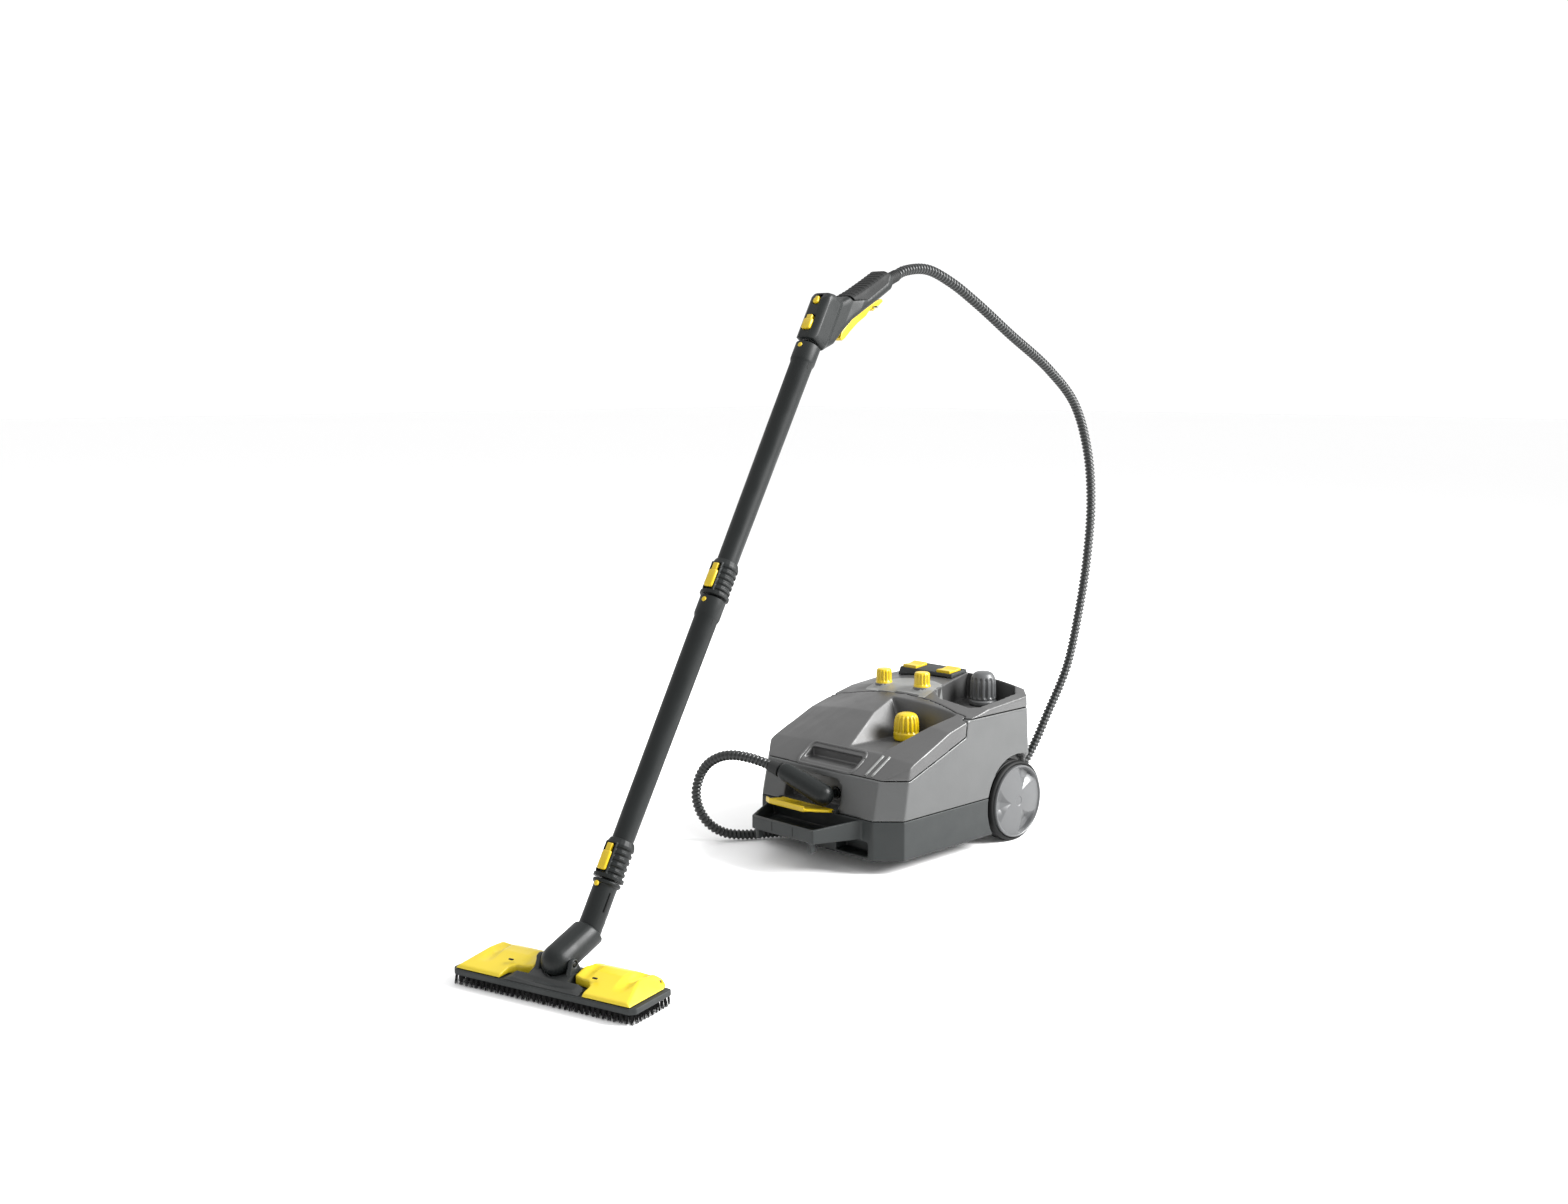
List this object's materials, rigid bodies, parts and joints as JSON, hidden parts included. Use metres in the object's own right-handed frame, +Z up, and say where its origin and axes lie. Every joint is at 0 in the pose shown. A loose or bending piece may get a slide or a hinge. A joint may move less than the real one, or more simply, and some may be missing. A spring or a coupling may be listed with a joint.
{
  "type": "steam cleaner",
  "caption": "Wheeled steam cleaner with twin-wheel body, front tray, hose, steam gun, extension tubes and a clamping floor tool.",
  "frame": {"origin": "on the floor, at the bottom centre of the box round everything but the hose and its sleeves", "axes": "+Z up, +Y towards the machine's rear, +X towards the machine's left-hand side; the floor tool stands ahead, at -Y"},
  "size_m": [0.5467, 1.4094, 0.9462],
  "materials": {
    "shell_plastic": "satin, fine grain",
    "cover_plastic": "satin, fine grain",
    "tub_plastic": "matt, fine grain",
    "black_plastic": "satin",
    "grey_trim": "satin",
    "yellow_plastic": "semi-gloss",
    "black_rubber": "matt",
    "tyre_rubber": "matt",
    "steel": "brushed",
    "brass": "turned",
    "board": "satin",
    "tank_plastic": "translucent, drawn opaque",
    "bristle": "matt fibre"
  },
  "bodies": {
    "machine": {"base_tub": "tub_plastic", "main_shell": "shell_plastic", "front_hood": "cover_plastic", "top_cover": "cover_plastic", "switch_block": "tub_plastic", "socket_housing": "black_plastic", "boiler": "steel", "heating_plate": "steel", "boiler_neck": "brass", "water_tank": "tank_plastic", "feed_pump": "black_plastic", "steam_valve": "brass", "control_board": "board", "rear_axle": "steel", "cord_gland": "black_plastic", "flap_pin": "tub_plastic", "steam_plug": "black_plastic", "hose_relief_plug": "black_rubber", "steam_hose": "black_rubber", "hose_relief_gun": "black_rubber", "gun_shell_left": "black_plastic", "gun_shell_right": "black_plastic", "grip_insert": "black_rubber", "trigger_pin": "steel", "upper_tube": "black_plastic", "upper_collar": "black_plastic", "lower_tube": "black_plastic", "lower_collar": "black_plastic", "tool_neck": "black_plastic"},
    "left_wheel": {"left_wheel_hub": "grey_trim", "left_wheel_tyre": "tyre_rubber"},
    "right_wheel": {"right_wheel_hub": "grey_trim", "right_wheel_tyre": "tyre_rubber"},
    "caster": {"caster_fork": "steel", "caster_axle": "steel"},
    "caster_roller": {"caster_wheel": "black_rubber"},
    "steam_dial": {"steam_knob": "yellow_plastic"},
    "hydro_dial": {"hydro_knob": "yellow_plastic"},
    "boiler_seal": {"boiler_cap_seal": "brass"},
    "boiler_lid": {"boiler_cap": "yellow_plastic"},
    "tank_seal": {"tank_cap_seal": "black_rubber"},
    "tank_lid": {"tank_cap": "grey_trim"},
    "left_rocker": {"switch_rocker_left": "yellow_plastic"},
    "right_rocker": {"switch_rocker_right": "yellow_plastic"},
    "flap": {"socket_flap": "yellow_plastic"},
    "gun_trigger": {"trigger": "yellow_plastic"},
    "gun_lock": {"lock_button": "yellow_plastic"},
    "gun_release": {"gun_release_button": "yellow_plastic"},
    "upper_release": {"upper_release_button": "yellow_plastic"},
    "lower_release": {"lower_release_button": "yellow_plastic"},
    "tool_elbow": {"elbow": "black_plastic"},
    "floor_plate": {"tool_plate": "tub_plastic", "bristle_ring": "bristle", "left_clip_pin": "steel", "right_clip_pin": "steel"},
    "left_clamp": {"left_clip": "yellow_plastic"},
    "right_clamp": {"right_clip": "yellow_plastic"}
  },
  "joints": [
    {"name": "left_wheel_roll", "type": "hinge", "parent": "machine", "child": "left_wheel", "pos_m": [0.05621, 0.486, 0.0677], "axis": [1, 0, 0], "continuous": true},
    {"name": "right_wheel_roll", "type": "hinge", "parent": "machine", "child": "right_wheel", "pos_m": [-0.22579, 0.486, 0.0677], "axis": [1, 0, 0], "continuous": true},
    {"name": "caster_swivel", "type": "hinge", "parent": "machine", "child": "caster", "pos_m": [-0.08479, 0.217, 0.05], "axis": [0, 0, 1], "continuous": true},
    {"name": "caster_roll", "type": "hinge", "parent": "caster", "child": "caster_roller", "pos_m": [-0.08479, 0.229, 0.018], "axis": [1, 0, 0], "continuous": true},
    {"name": "steam_knob_turn", "type": "hinge", "parent": "machine", "child": "steam_dial", "pos_m": [-0.07379, 0.409, 0.26], "axis": [0, 0, 1], "range_deg": [0, 270]},
    {"name": "hydro_knob_turn", "type": "hinge", "parent": "machine", "child": "hydro_dial", "pos_m": [-0.15979, 0.409, 0.256], "axis": [0, 0, 1], "range_deg": [0, 270]},
    {"name": "boiler_cap_lift", "type": "slide", "parent": "machine", "child": "boiler_seal", "axis": [0, 0, 1], "range_m": [0, 0.00901]},
    {"name": "boiler_cap_turn", "type": "hinge", "parent": "boiler_seal", "child": "boiler_lid", "pos_m": [-0.03979, 0.331, 0.2], "axis": [0, 0, 1], "range_deg": [0, 1080]},
    {"name": "tank_cap_lift", "type": "slide", "parent": "machine", "child": "tank_seal", "axis": [0, 0, 1], "range_m": [0, 0.00901]},
    {"name": "tank_cap_turn", "type": "hinge", "parent": "tank_seal", "child": "tank_lid", "pos_m": [-0.01879, 0.504, 0.235], "axis": [0, 0, 1], "range_deg": [0, 1080]},
    {"name": "left_rocker_tilt", "type": "hinge", "parent": "machine", "child": "left_rocker", "pos_m": [-0.09279, 0.501, 0.26], "axis": [1, 0, 0], "range_deg": [-7, 7]},
    {"name": "right_rocker_tilt", "type": "hinge", "parent": "machine", "child": "right_rocker", "pos_m": [-0.16879, 0.501, 0.26], "axis": [1, 0, 0], "range_deg": [-7, 7]},
    {"name": "socket_flap_fold", "type": "hinge", "parent": "machine", "child": "flap", "pos_m": [-0.08479, 0.158, 0.09], "axis": [1, 0, 0], "range_deg": [0, 30]},
    {"name": "trigger_squeeze", "type": "hinge", "parent": "machine", "child": "gun_trigger", "pos_m": [-0.00551, 0.19819, 0.87447], "axis": [0.9903, 0.1392, 0], "range_deg": [-8, 0], "stiffness_Nm_per_rad": 0.3, "springref_deg": 11.46},
    {"name": "gun_lock_slide", "type": "slide", "parent": "machine", "child": "gun_lock", "axis": [-0.0742, 0.5277, 0.8462], "range_m": [0, 0.005]},
    {"name": "gun_release_press", "type": "slide", "parent": "machine", "child": "gun_release", "axis": [-0.1178, 0.838, -0.5329], "range_m": [0, 0.002], "stiffness_N_per_m": 400, "springref_m": -0.001},
    {"name": "upper_release_press", "type": "slide", "parent": "machine", "child": "upper_release", "axis": [-0.1178, 0.838, -0.5329], "range_m": [0, 0.002], "stiffness_N_per_m": 400, "springref_m": -0.001},
    {"name": "lower_release_press", "type": "slide", "parent": "machine", "child": "lower_release", "axis": [-0.1178, 0.838, -0.5329], "range_m": [0, 0.002], "stiffness_N_per_m": 400, "springref_m": -0.001},
    {"name": "elbow_swivel", "type": "hinge", "parent": "machine", "child": "tool_elbow", "pos_m": [0.0821, -0.42521, 0.06432], "axis": [-0.1724, 0.7815, 0.5997], "range_deg": [-60, 60]},
    {"name": "tool_tilt", "type": "hinge", "parent": "tool_elbow", "child": "floor_plate", "pos_m": [0.09875, -0.48779, 0.046], "axis": [0.9664, 0.2571, 0], "range_deg": [-65, 18]},
    {"name": "left_clip_open", "type": "hinge", "parent": "floor_plate", "child": "left_clamp", "pos_m": [0.08808, -0.44769, 0.029], "axis": [0.9664, 0.2571, 0], "range_deg": [-25, 0], "stiffness_Nm_per_rad": 0.4, "springref_deg": 11.46},
    {"name": "right_clip_open", "type": "hinge", "parent": "floor_plate", "child": "right_clamp", "pos_m": [0.08808, -0.44769, 0.029], "axis": [0.9664, 0.2571, 0], "range_deg": [-25, 0], "stiffness_Nm_per_rad": 0.4, "springref_deg": 11.46}
  ],
  "couplings": [
    {"joint": "boiler_cap_lift", "follows": "boiler_cap_turn", "m_per_rad": 0.00047746},
    {"joint": "tank_cap_lift", "follows": "tank_cap_turn", "m_per_rad": 0.00047746}
  ]
}
